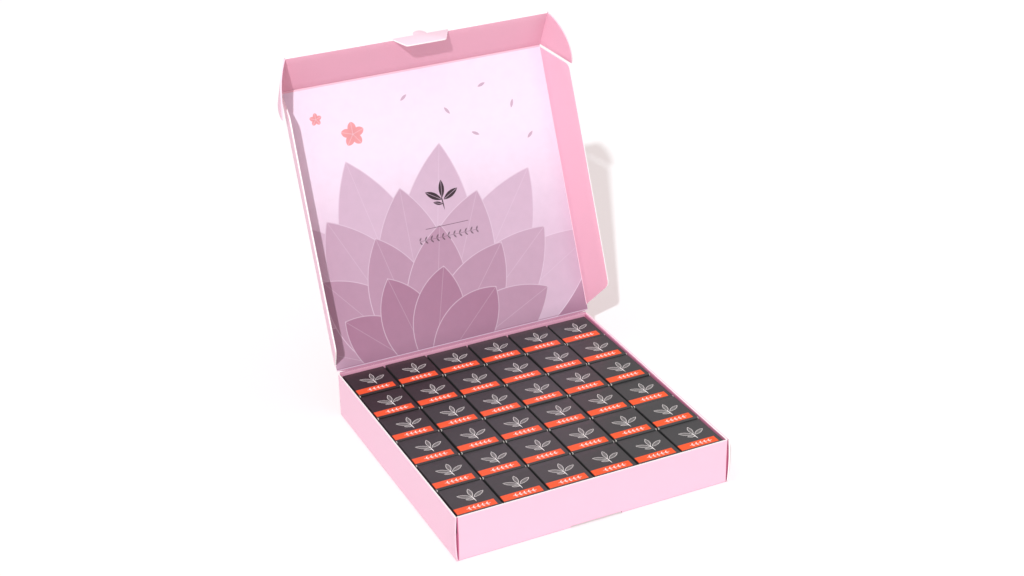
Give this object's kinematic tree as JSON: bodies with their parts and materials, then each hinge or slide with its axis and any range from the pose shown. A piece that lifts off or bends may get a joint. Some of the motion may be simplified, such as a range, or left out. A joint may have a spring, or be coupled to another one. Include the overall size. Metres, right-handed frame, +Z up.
{
  "type": "tea box",
  "caption": "Flat hinged gift box of folded board, lid open on its crease, packed with rows of small square tea cartons.",
  "frame": {"origin": "middle of the tray's underside", "axes": "+X to the right along the front wall, +Y towards the hinged back wall, +Z up"},
  "size_m": [0.3664, 0.4467, 0.4018],
  "materials": {
    "pink_board": "matt coated, pale pink",
    "pink_flap_board": "matt coated, warm pink",
    "printed_board": "matt coated, printed pale pink to mauve",
    "charcoal_card": "satin charcoal carton card with an orange band"
  },
  "bodies": {
    "tray": {"tray": "pink_board", "carton_1_1": "charcoal_card", "carton_1_2": "charcoal_card", "carton_1_3": "charcoal_card", "carton_1_4": "charcoal_card", "carton_1_5": "charcoal_card", "carton_1_6": "charcoal_card", "carton_2_1": "charcoal_card", "carton_2_2": "charcoal_card", "carton_2_3": "charcoal_card", "carton_2_4": "charcoal_card", "carton_2_5": "charcoal_card", "carton_2_6": "charcoal_card", "carton_3_1": "charcoal_card", "carton_3_2": "charcoal_card", "carton_3_3": "charcoal_card", "carton_3_4": "charcoal_card", "carton_3_5": "charcoal_card", "carton_3_6": "charcoal_card", "carton_4_1": "charcoal_card", "carton_4_2": "charcoal_card", "carton_4_3": "charcoal_card", "carton_4_4": "charcoal_card", "carton_4_5": "charcoal_card", "carton_4_6": "charcoal_card", "carton_5_1": "charcoal_card", "carton_5_2": "charcoal_card", "carton_5_3": "charcoal_card", "carton_5_4": "charcoal_card", "carton_5_5": "charcoal_card", "carton_5_6": "charcoal_card", "carton_6_1": "charcoal_card", "carton_6_2": "charcoal_card", "carton_6_3": "charcoal_card", "carton_6_4": "charcoal_card", "carton_6_5": "charcoal_card", "carton_6_6": "charcoal_card"},
    "lid": {"lid_panel": "printed_board"},
    "left_flap": {"side_flap_left": "pink_flap_board"},
    "right_flap": {"side_flap_right": "pink_flap_board"},
    "tuck": {"tuck_flap": "pink_flap_board"},
    "left_ear": {"ear_left": "pink_flap_board"},
    "right_ear": {"ear_right": "pink_flap_board"},
    "tab": {"lock_tab": "pink_board"}
  },
  "joints": [
    {"name": "lid_hinge", "type": "hinge", "parent": "tray", "child": "lid", "pos_m": [0, 0.1607, 0.0542], "axis": [-1, 0, 0], "range_deg": [-112.5, 74]},
    {"name": "tuck_fold", "type": "hinge", "parent": "lid", "child": "tuck", "pos_m": [0, 0.28446, 0.35298], "axis": [-1, 0, 0], "range_deg": [-23.5, 48]},
    {"name": "left_flap_fold", "type": "hinge", "parent": "lid", "child": "left_flap", "pos_m": [-0.1612, 0.1607, 0.0542], "axis": [0, -0.3827, -0.9239], "range_deg": [-11, 0]},
    {"name": "right_flap_fold", "type": "hinge", "parent": "lid", "child": "right_flap", "pos_m": [0.1612, 0.1607, 0.0542], "axis": [0, 0.3827, 0.9239], "range_deg": [-25, 0]},
    {"name": "left_ear_fold", "type": "hinge", "parent": "tuck", "child": "left_ear", "pos_m": [-0.1612, 0.28446, 0.35298], "axis": [0, 0.4305, -0.9026], "range_deg": [0, 66]},
    {"name": "right_ear_fold", "type": "hinge", "parent": "tuck", "child": "right_ear", "pos_m": [0.1612, 0.28446, 0.35298], "axis": [0, -0.4305, 0.9026], "range_deg": [0, 60]},
    {"name": "tab_fold", "type": "hinge", "parent": "tuck", "child": "tab", "pos_m": [0, 0.26229, 0.39947], "axis": [-1, 0, 0], "range_deg": [0, 75]}
  ]
}
